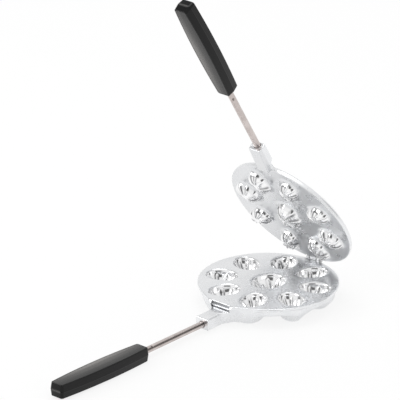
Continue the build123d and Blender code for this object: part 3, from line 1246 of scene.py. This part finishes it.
@dataclass(kw_only=True)
class Lid(Casting):
    """The upper casting: nine smooth domes, a rounded back, neck, block and knuckle."""

    name: str = "lid_casting"
    node: str = "upper_plate"
    body: Body = Body.LID
    relief: ShellRelief = field(
        default_factory=lambda: ShellRelief(ridge_height=1.0, ridge_width=0.5, crease_place=0.55)
    )
    face: float = 23.05
    cell: float = 0.8
    block_end: float = 113.5
    rod_rise: float = 3.6
    below: float = 12.5
    far_end: float = 86.0
    thickness: float = 7.0
    back_round: float = 4.5
    dough_side: float = 2.2
    dough_floor: float = 6.0
    dome_wall: float = 4.2
    dome_top: float = 1.0
    dome_power: float = 3.0
    dome_root: float = 5.0
    dome_fade: float = 1.2
    dome_back_lip: float = 1.6
    polish_from: float = -0.8
    polish_run: float = 3.0
    # painted shade over the lid's inner face, even everywhere and deeper towards the hinge
    stain_and_shade: float = 0.2
    lid_shade_all: float = 0.11
    lid_shade_from: float = 10.0
    lid_shade_run: float = 75.0
    lid_shade_power: float = 1.5
    lid_shade_top: float = 0.4
    neck_from: float = 79.5
    neck_drop: Pair = (3.5, 5.5)
    neck_draft: float = 0.07
    neck_reach: float = 1.6
    side_round: float = 1.1
    ridge: float = 3.6
    strip_end: float = 84.0
    strip_run: float = 20.0
    root_reach: float = 10.0
    root_inset: float = 0.3
    root_gap: float = 0.1
    block_root: float = 88.0
    block_back: float = 8.8
    block_lap: float = 2.0
    block_round: float = 1.6
    block_reach: float = 2.5
    back_draft: float = 0.385
    heel: float = 5.8
    heel_from: float = -24.3
    heel_span: float = 24.0
    swing_lip: float = 0.4
    knuckle_run: float = 10.0
    knuckle_root: float = 0.8
    knuckle_edge: float = 0.4
    knuckle_reach: float = 0.5

    def distance(self, x: Array, y: Array, z: Array) -> Array:
        """Joins and cuts the lid, closed.

        Args:
            x: places along X.
            y: places along Y.
            z: heights above the floor.

        Returns:
            The distance.
        """
        g = z - self.face
        disc = self.plan.disc(x, y)
        plate = round_both(round_both(disc, g - self.thickness, self.back_round), -g, self.edge)
        low = (-self.strip_end, -self.block_half)
        strip = oblong(x, y, low, (-self.neck_from + self.strip_run, self.block_half))
        bridge = soft_join(disc, strip, self.root_reach) + self.root_inset
        bridge = slab(bridge, g, self.root_gap, self.ridge - self.root_gap, self.edge)
        lid = np.minimum(plate, bridge)
        lid = soft_join(lid, self.neck(x, y, g), self.neck_reach)
        lid = soft_join(lid, self.domes(x, y, g), self.dome_root)
        lid = soft_cut(lid, self.dome_backs(x, y, g), self.dome_back_lip)
        lid = soft_cut(lid, self.ejector_marks(x, y, g), self.ejector_lip)
        return self.bored(self.with_knuckle(lid, x, y, z), x, y, z)

    def neck(self, x: Array, y: Array, g: Array) -> Array:
        """Draws the neck and its block, drafted both ways from a ridge at the rod's axis.

        Args:
            x: places along X.
            y: places along Y.
            g: heights above the face.

        Returns:
            The distance.
        """
        along = (x + self.block_end) / (self.block_end - self.neck_from)
        foot = -self.neck_drop[0] - (self.neck_drop[1] - self.neck_drop[0]) * along
        low = np.maximum(x + self.neck_from, -self.block_end - x)
        low = round_both(round_both(low, foot - g, self.edge), g - self.ridge, self.edge)
        ends = np.maximum(x + self.block_root, -self.block_end - x)
        level = np.maximum(g - self.block_back, self.ridge - self.block_lap - g)
        high = round_both(ends, level, self.block_round)
        draft = np.where(g < self.ridge, self.neck_draft, self.back_draft)
        side = np.abs(y) - self.block_half + draft * np.abs(g - self.ridge)
        return round_both(soft_join(low, high, self.block_reach), side, self.side_round)

    def domes(self, x: Array, y: Array, g: Array) -> Array:
        """Distance to the nine domes with the shell's relief."""
        grown = (-self.dough_side, self.nuts.depths(self.dough_floor), self.dome_power)
        return np.maximum(self.nuts.forms(x, y, g, *grown) - self.ridges(x, y), g - self.dome_top)

    def dome_backs(self, x: Array, y: Array, g: Array) -> Array:
        """Distance to the hollows behind the domes."""
        depths = self.nuts.depths(self.dough_floor + self.dome_wall - self.thickness)
        return self.nuts.forms(x, y, g - self.thickness, -self.dough_side - self.dome_wall, depths)

    def with_knuckle(self, lid: Array, x: Array, y: Array, z: Array) -> Array:
        """Clears the ears' room and adds the knuckle with its stop heel.

        Args:
            lid: distance so far.
            x: places along X.
            y: places along Y.
            z: heights above the floor.

        Returns:
            The distance.
        """
        hinge = self.hinge
        a, b, ring = hinge.from_pin(x, z)
        room = np.maximum(ring - hinge.swing, np.abs(y) - hinge.pin_half)
        lid = soft_cut(lid, room, self.swing_lip)
        back = self.face + self.thickness - hinge.z
        bridge = oblong(a, b, (-self.knuckle_run, back - self.thickness), (0.0, back))
        eye = np.minimum(ring - hinge.eye, self.heel_outline(a, b))
        outline = soft_join(eye, bridge, self.knuckle_root)
        knuckle = slab(outline, y, -hinge.knuckle_half, hinge.knuckle_half, self.knuckle_edge)
        lid = soft_join(lid, knuckle, self.knuckle_reach)
        return soft_cut(lid, ring - hinge.bore, self.bore_lip)

    def heel_outline(self, a: Array, b: Array) -> Array:
        """Distance to the heel that stops the open lid, at places along X and Z from the pin."""
        turns = (radians(self.heel_from + self.heel_span), radians(self.heel_from))
        return convex(a, b, [(0.0, 0.0), *((self.heel * cos(t), self.heel * sin(t)) for t in turns)])

    def build(self, material: bpy.types.Material) -> bpy.types.Object:
        """Meshes the closed lid, opens it and dresses it.

        Args:
            material: its finish.

        Returns:
            The piece.
        """
        low = (-self.block_end, -self.plan.radius, self.face - self.below)
        high = (self.far_end, self.plan.radius, self.face + self.block_back)
        net = FormulaMesher(low, high, self.cell).mesh(self)
        x, y, z = net.points.T
        g = z - self.face
        polished = 1 - np.clip(self.domes(x, y, g) / self.dome_fade, 0, 1)
        polished = polished * np.clip((self.polish_from - g) / self.polish_run, 0, 1)
        # painted shade on the inner face, kept off the polished domes, which get painted dark reflections
        # beside their ridges instead
        stain_and_shade = np.clip((x - self.lid_shade_from) / self.lid_shade_run, 0, 1) ** self.lid_shade_power
        stain_and_shade = stain_and_shade * self.stain_and_shade + self.lid_shade_all
        stain_and_shade = stain_and_shade * (g < self.lid_shade_top) * (1 - polished)
        painted_shade = np.maximum(stain_and_shade, self.painted_strokes(x, y) * polished)
        return self.dressed(net, polished, painted_shade, material)


@dataclass(kw_only=True)
class Rod(Piece):
    """A tube rolled from sheet, its seam left open, staked once beside the grip."""

    slot: Slot = Slot.ROD
    block_end: float
    axis_z: float
    seam_angle: float
    stake_angle: float
    radius: float = 3.6
    wall: float = 1.0
    gap: float = 0.5
    lip_curl: float = 0.45
    lip_reach: float = 0.22
    in_socket: float = 24.0
    in_grip: float = 56.0
    grip_start: float = 205.0
    stake_from_grip: float = 12.0
    stake_depth: float = 0.9
    stake_radius: float = 1.5
    stake_shade: float = 0.8
    seam_shade: float = 0.24
    turns: int = 72
    coarse_rings: int = 40
    fine_rings: int = 30
    fine_reach: float = 3.0
    coarse_reach: float = 3.2
    crisp_angle: float = 50.0

    def section(self) -> tuple[Array, Array]:
        """Draws the sheet's section, outside first and then back along the inside.

        Returns:
            Angles from the seam, and depths below the outside.
        """
        half_gap = self.gap / 2 / self.radius
        around = np.linspace(half_gap, 2 * pi - half_gap, self.turns)
        angles = np.concatenate([around, around[::-1]])
        depths = np.concatenate([np.zeros(self.turns), np.full(self.turns, self.wall)])
        off_seam = np.minimum(angles, 2 * pi - angles)
        curl = self.lip_curl * np.exp(-((off_seam / self.lip_reach) ** 2))
        return angles, depths + curl

    def stations(self, stake: float) -> Array:
        """Spaces the rings along the rod, close together at the stake mark.

        Args:
            stake: where the mark lies.

        Returns:
            The rings' places.
        """
        first = self.block_end - self.in_socket
        coarse = np.linspace(first, self.grip_start + self.in_grip, self.coarse_rings)
        away = coarse[np.abs(coarse - stake) > self.coarse_reach * self.stake_radius]
        reach = self.fine_reach * self.stake_radius
        return np.sort(np.concatenate([away, np.linspace(stake - reach, stake + reach, self.fine_rings)]))

    def faces(self, rings: int, count: int) -> list[tuple[int, ...]]:
        """Lists the tube's faces, with the sheet's edge closed at both ends.

        Args:
            rings: how many rings there are.
            count: how many points each ring has.

        Returns:
            The point numbers of each face.
        """
        faces = [(a, d, c, b) for a, b, c, d in bands(rings, count)]
        for base, order in ((0, 1), ((rings - 1) * count, -1)):
            for at in range(count // 2 - 1):
                quad = (base + at, base + at + 1, base + count - 2 - at, base + count - 1 - at)
                faces.append(quad[::order])
        return faces

    def build(self, material: bpy.types.Material) -> bpy.types.Object:
        """Makes the rod.

        Args:
            material: its finish.

        Returns:
            The piece.
        """
        stake = self.grip_start - self.stake_from_grip
        stations = self.stations(stake)
        angles, depths = self.section()
        out, angle = np.meshgrid(stations, angles, indexing="ij")
        off = (angle - radians(self.stake_angle - self.seam_angle) + pi) % (2 * pi) - pi
        far = np.hypot(out - stake, off * self.radius)
        dent = self.stake_depth * np.exp(-((far / self.stake_radius) ** 4))
        radius = self.radius - depths[None, :] - dent
        way = angle + radians(self.seam_angle)
        own = np.stack([-out, -radius * np.cos(way), self.axis_z + radius * np.sin(way)], axis=-1)
        own = own.reshape(-1, 3)
        piece = self.make(own, self.faces(len(stations), len(angles)), material)
        store(piece, Mark.OWN, own * MM)
        # painted shade along the seam's gap and in the stake's dent
        seam = np.exp(-((np.minimum(angle, 2 * pi - angle) / self.seam_shade) ** 2))
        marked = np.exp(-((far / (self.stake_shade * self.stake_radius)) ** 2))
        store(piece, Mark.PAINTED_SHADE, np.maximum(seam, marked).ravel())
        piece.data.set_sharp_from_angle(angle=radians(self.crisp_angle))
        return piece


@dataclass(kw_only=True)
class Grip(Piece):
    """A moulded grip: barrel-shaped in plan, drafted to a parting line at mid height."""

    slot: Slot = Slot.BAKELITE
    axis_z: float
    lift: float = 0.0
    start: float = 205.0
    length: float = 136.85
    end_half: float = 9.0
    middle_half: float = 12.0
    half_height: float = 7.75
    draft: float = radians(8.0)
    corner: float = 3.6
    least_corner: float = 0.2
    edge: float = 0.55
    edge_turns: tuple[float, ...] = (22.5, 45.0, 67.5, 90.0)
    flank_heights: Triple = (1.0, 3.0, 5.0)
    parting: float = 0.12
    parting_inset: float = 0.8
    parting_height: float = 2.2
    groove_width: float = 0.8
    groove_depth: float = 0.4
    groove_from: float = 0.12
    groove_spare: float = 0.25
    groove_shares: tuple[float, ...] = (0.0, 0.12, 0.35, 0.65, 0.88, 1.0)
    groove_depths: tuple[float, ...] = (0.0, 0.55, 1.0, 1.0, 0.55, 0.0)
    flank_points: int = 33
    corner_points: int = 9
    crisp_angle: float = 35.0

    def ring(self, inset: float) -> Array:
        """Draws the outline, drawn in on every side.

        Args:
            inset: how far.

        Returns:
            Places along the grip and across it.
        """
        sagitta = self.middle_half - self.end_half
        bow = (self.length**2 / 4 + sagitta**2) / (2 * sagitta)
        radius = max(self.corner - inset, self.least_corner)
        along = np.linspace(inset + radius, self.length - inset - radius, self.flank_points)
        from_middle = along - self.length / 2
        wide = self.middle_half - inset - (bow - np.sqrt(bow**2 - from_middle**2))
        turn = np.linspace(0, pi / 2, self.corner_points)[1:-1]
        end_half = wide[0] - radius
        near = np.stack([inset + radius - radius * np.cos(turn), end_half + radius * np.sin(turn)], axis=1)
        far = near[::-1] * [-1, 1] + [self.length, 0]
        flank = np.stack([along, wide], axis=1)
        first = [[inset, end_half]]
        last = [[self.length - inset, end_half]]
        one_side = np.concatenate([first, near, flank, far, last])
        return np.concatenate([one_side, one_side[::-1] * [1, -1]])

    def profile(self) -> list[Pair]:
        """Steps from the parting line up to the flat top.

        Returns:
            Insets and heights.
        """
        slope = tan(self.draft)
        below = self.half_height - self.edge
        start = below * slope
        steps = [(0.0, self.parting), (self.parting * self.parting_inset, self.parting_height * self.parting)]
        steps += [(height * slope, height) for height in (*self.flank_heights, below)]
        for turn in self.edge_turns:
            t = radians(turn)
            steps.append((start + self.edge * (1 - cos(t)), below + self.edge * sin(t)))
        inner = start + self.edge + self.groove_from
        for share, depth in zip(self.groove_shares, self.groove_depths, strict=True):
            steps.append((inner + share * self.groove_width, self.half_height - depth * self.groove_depth))
        steps.append((inner + self.groove_width + self.groove_spare, self.half_height))
        return steps

    def build(self, material: bpy.types.Material) -> bpy.types.Object:
        """Makes the grip.

        Args:
            material: its finish.

        Returns:
            The piece.
        """
        up = self.profile()
        levels = [(inset, -height) for inset, height in reversed(up)] + up
        rings = [np.insert(self.ring(inset), 2, height, axis=1) for inset, height in levels]
        own = np.concatenate(rings)
        along, across, height = own.T
        tilt = radians(self.lift)
        x = -self.start - along * cos(tilt) + height * sin(tilt)
        z = self.axis_z + along * sin(tilt) + height * cos(tilt)
        piece = self.make(np.column_stack([x, across, z]), capped(len(rings), len(rings[0])), material)
        store(piece, Mark.OWN, own * MM)
        piece.data.set_sharp_from_angle(angle=radians(self.crisp_angle))
        return piece


@dataclass(kw_only=True)
class TurnedPin(Piece):
    """A steel pin turned on its own axis, from its foot along a direction."""

    slot: Slot = Slot.PIN
    foot: Triple
    along: Triple
    sides: int = 48
    dome_rings: int = 7
    dome_end: float = 1.45
    crisp_angle: float = 40.0

    def profile(self) -> list[Pair]:
        """Places along the pin, and radii; each pin has its own."""
        raise NotImplementedError

    def build(self, material: bpy.types.Material) -> bpy.types.Object:
        """Makes the pin.

        Args:
            material: its finish.

        Returns:
            The piece.
        """
        axis = Vector(self.along).normalized()
        side = np.array(axis.orthogonal().normalized())
        other = np.cross(np.array(axis), side)
        angles = np.linspace(0, 2 * pi, self.sides, endpoint=False)
        ring = np.outer(np.cos(angles), side) + np.outer(np.sin(angles), other)
        foot = np.array(self.foot)
        levels = [foot + np.array(axis) * place + ring * radius for place, radius in self.profile()]
        piece = self.make(np.concatenate(levels), capped(len(levels), self.sides), material)
        piece.data.set_sharp_from_angle(angle=radians(self.crisp_angle))
        return piece


@dataclass(kw_only=True)
class HingePin(TurnedPin):
    """The hinge pin: a chamfered head, the shank and a domed rivet head."""

    name: str = "hinge_shank"
    node: str = "hinge_pin"
    body: Body = Body.BASE
    along: Triple = (0.0, 1.0, 0.0)
    head: tuple[Pair, ...] = ((0.0, 1.5), (0.25, 2.0), (0.8, 2.2))
    shank: float = 1.6
    tail: float = 19.6
    rivet: float = 2.7
    rivet_rise: float = 1.3
    rivet_turn: float = 0.2

    def profile(self) -> list[Pair]:
        """Draws the pin from its head to the rivet head.

        Returns:
            Places along the pin, and radii.
        """
        neck = self.head[-1][0]
        steps = [*self.head, (neck, self.shank), (self.tail, self.shank), (self.tail, self.rivet)]
        turns = np.linspace(self.rivet_turn, self.dome_end, self.dome_rings)
        return steps + [(self.tail + self.rivet_rise * sin(t), self.rivet * cos(t)) for t in turns]


@dataclass(kw_only=True)
class Stake(TurnedPin):
    """The pin of a rod: a straight shank with a domed far end."""

    length: float
    radius: float = 1.5
    rise: float = 0.25

    def profile(self) -> list[Pair]:
        """Draws the pin from its foot to the dome.

        Returns:
            Places along the pin, and radii.
        """
        turns = np.linspace(0, self.dome_end, self.dome_rings)
        dome = [(self.length - self.rise * (1 - sin(t)), self.radius * cos(t)) for t in turns]
        return [(0.0, self.radius), *dome]


# Surroundings


@dataclass(frozen=True)
class Lamp:
    """A square soft lamp that faces the plates; its sizes are in metres."""

    name: str
    place: Triple
    size: float
    power: float

    def build(self) -> None:
        """Sets up the lamp."""
        data = bpy.data.lights.new(self.name, "AREA")
        data.shape = "SQUARE"
        data.size = self.size
        data.energy = self.power
        lamp = bpy.data.objects.new(self.name, data)
        lamp.location = self.place
        lamp.rotation_mode = "QUATERNION"
        lamp.rotation_quaternion = (-Vector(self.place)).to_track_quat("-Z", "Y")
        bpy.context.scene.collection.objects.link(lamp)


@dataclass
class Studio:
    """White floor and surroundings, soft lamps and the camera."""

    azimuth: float = -48.618
    elevation: float = 22.766
    place: Triple = (-3.2215, -2.7381, 1.893)
    lens: float = 378.5
    sensor: float = 36.0
    floor_size: float = 9.0
    floor_white: float = 0.93
    floor_roughness: float = 0.9
    floor_glow: float = 0.82
    floor_shine: float = 0.6
    sky: float = 0.88
    gap_count: float = 3.4
    gap_phase: float = 1.35
    gap_start: float = 0.15
    gap_gain: float = 3.0
    gap_low: float = 0.04
    gap_high: float = 0.56
    gap_edge: float = 0.05
    gap_dark: float = 0.85
    gap_reach: float = 0.4
    dim_way: Triple = (0.04, 0.6, 0.8)
    dim_edges: Pair = (0.82, 0.97)
    dim_dark: float = 0.3
    lamps: tuple[Lamp, ...] = (
        Lamp(name="top_lamp", place=(0.3, 0.2, 2.4), size=1.4, power=14.0),
        Lamp(name="left_lamp", place=(-1.6, 1.4, 1.3), size=1.0, power=10.0),
    )

    def back(self) -> Vector:
        """Direction from the object to the camera.

        Returns:
            The direction.
        """
        a = radians(self.azimuth)
        e = radians(self.elevation)
        return Vector((sin(a) * cos(e), -cos(a) * cos(e), sin(e)))

    def camera(self) -> None:
        """Sets the camera."""
        data = bpy.data.cameras.new("camera")
        data.lens = self.lens
        data.sensor_width = self.sensor
        camera = bpy.data.objects.new("camera", data)
        camera.location = self.place
        camera.rotation_mode = "QUATERNION"
        camera.rotation_quaternion = (-self.back()).to_track_quat("-Z", "Y")
        bpy.context.scene.collection.objects.link(camera)
        bpy.context.scene.camera = camera

    def floor(self) -> None:
        """Lays a white floor that keeps a faint shadow."""
        shader = Shader("floor")
        white = (self.floor_white, self.floor_white, self.floor_white, 1.0)
        material = shader.dress(Base_Color=white, Roughness=self.floor_roughness)
        glow = shader.node("ShaderNodeEmission", None, {"Strength": 1.0})
        share = shader.seen() * self.floor_glow + shader.mirrored() * self.floor_shine
        inputs = {0: share, 1: shader.surface.outputs[0], 2: glow.outputs[0]}
        mix = shader.node("ShaderNodeMixShader", None, inputs)
        shader.feed(shader.output.inputs["Surface"], mix.outputs[0])
        half = self.floor_size / 2
        mesh = bpy.data.meshes.new("floor")
        corners = [(-half, -half, 0.0), (half, -half, 0.0), (half, half, 0.0), (-half, half, 0.0)]
        mesh.from_pydata(corners, [], [(0, 1, 2, 3)])
        mesh.materials.append(material)
        floor = bpy.data.objects.new("floor", mesh)
        bpy.context.scene.collection.objects.link(floor)

    def surroundings(self) -> None:
        """Hangs a white tent with dark gaps between the screens on the camera's side."""
        world = bpy.data.worlds.new("tent")
        world.use_nodes = True
        graph = Graph(world.node_tree)
        way = graph.node("ShaderNodeTexCoord").outputs["Generated"]

        def along(direction: Vector) -> Value:
            """How far the ray runs along a direction."""
            inputs = {0: way, 1: direction.normalized()}
            node = graph.node("ShaderNodeVectorMath", {"operation": "DOT_PRODUCT"}, inputs)
            return Value(graph, node.outputs["Value"])

        level = self.back()
        level.z = 0.0
        ahead = along(level)
        aside = along(Vector((cos(radians(self.azimuth)), sin(radians(self.azimuth)), 0.0)))
        height = along(Vector((0.0, 0.0, 1.0)))
        ripple = (aside.angle_to(ahead) * self.gap_count + self.gap_phase).sine()
        gaps = ripple.ramped(self.gap_start, self.gap_gain) * ahead.ramped(-self.gap_reach, self.gap_gain)
        gaps = gaps * ((height - self.gap_low) / self.gap_edge).clipped()
        gaps = gaps * ((self.gap_high - height) / self.gap_edge).clipped()
        first, last = self.dim_edges
        dim = ((along(Vector(self.dim_way)) - first) / (last - first)).clipped()
        tent = self.sky * (1 - gaps * self.gap_dark) * (1 - dim * self.dim_dark)
        seen = graph.seen()
        inputs = {"Color": (1.0, 1.0, 1.0, 1.0), "Strength": seen + (1 - seen) * tent}
        background = graph.node("ShaderNodeBackground", None, inputs)
        graph.node("ShaderNodeOutputWorld", None, {"Surface": background.outputs[0]})
        bpy.context.scene.world = world

    def build(self) -> None:
        """Sets up everything round the iron."""
        bpy.context.scene.view_settings.view_transform = "Standard"
        self.floor()
        self.surroundings()
        for lamp in self.lamps:
            lamp.build()
        self.camera()


def rods(lower: LowerPlate, lid: Lid) -> list[Rod]:
    """Sizes the rods of both castings.

    Args:
        lower: the lower casting.
        lid: the upper casting.

    Returns:
        The rods.
    """
    return [
        Rod(
            name="lower_tube",
            node="lower_rod",
            body=Body.BASE,
            block_end=lower.block_end,
            axis_z=lower.rod_z(),
            seam_angle=33.0,
            stake_angle=58.0,
        ),
        Rod(
            name="upper_tube",
            node="upper_rod",
            body=Body.LID,
            block_end=lid.block_end,
            axis_z=lid.rod_z(),
            seam_angle=150.0,
            stake_angle=-33.0,
        ),
    ]


def grips(lower: LowerPlate, lid: Lid) -> list[Grip]:
    """Sizes the grips on both rods.

    Args:
        lower: the lower casting.
        lid: the upper casting.

    Returns:
        The grips.
    """
    return [
        Grip(name="lower_moulding", node="lower_grip", body=Body.BASE, axis_z=lower.rod_z(), lift=1.1),
        Grip(name="upper_moulding", node="upper_grip", body=Body.LID, axis_z=lid.rod_z()),
    ]


def pins(hinge: Hinge) -> list[TurnedPin]:
    """Sizes and places the three pins.

    Args:
        hinge: the hinge that one of them belongs to.

    Returns:
        The pins.
    """
    return [
        HingePin(foot=(hinge.x, -10.2, hinge.z)),
        Stake(
            name="lower_stake",
            node="lower_rod_pin",
            body=Body.BASE,
            foot=(-99.0, 0.0, 13.25),
            along=(0.0, 0.0, -1.0),
            length=11.05,
        ),
        Stake(
            name="upper_stake",
            node="upper_rod_pin",
            body=Body.LID,
            foot=(-101.5, 0.0, 21.3),
            along=(0.0, 0.0, 1.0),
            length=10.55,
        ),
    ]


def main() -> None:
    """Builds the iron and its studio."""
    logging.basicConfig(level=logging.INFO, format="%(message)s")
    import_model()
    aluminium = CastAluminium().material()
    rod_steel = RodSteel().material()
    pin_steel = PinSteel().material()
    bakelite = Bakelite().material()
    lower = LowerPlate()
    lid = Lid()
    lower.build(aluminium)
    lid.build(aluminium)
    for rod in rods(lower, lid):
        rod.build(rod_steel)
    for grip in grips(lower, lid):
        grip.build(bakelite)
    for pin in pins(lower.hinge):
        pin.build(pin_steel)
    Studio().build()


if __name__ == "__main__":
    main()
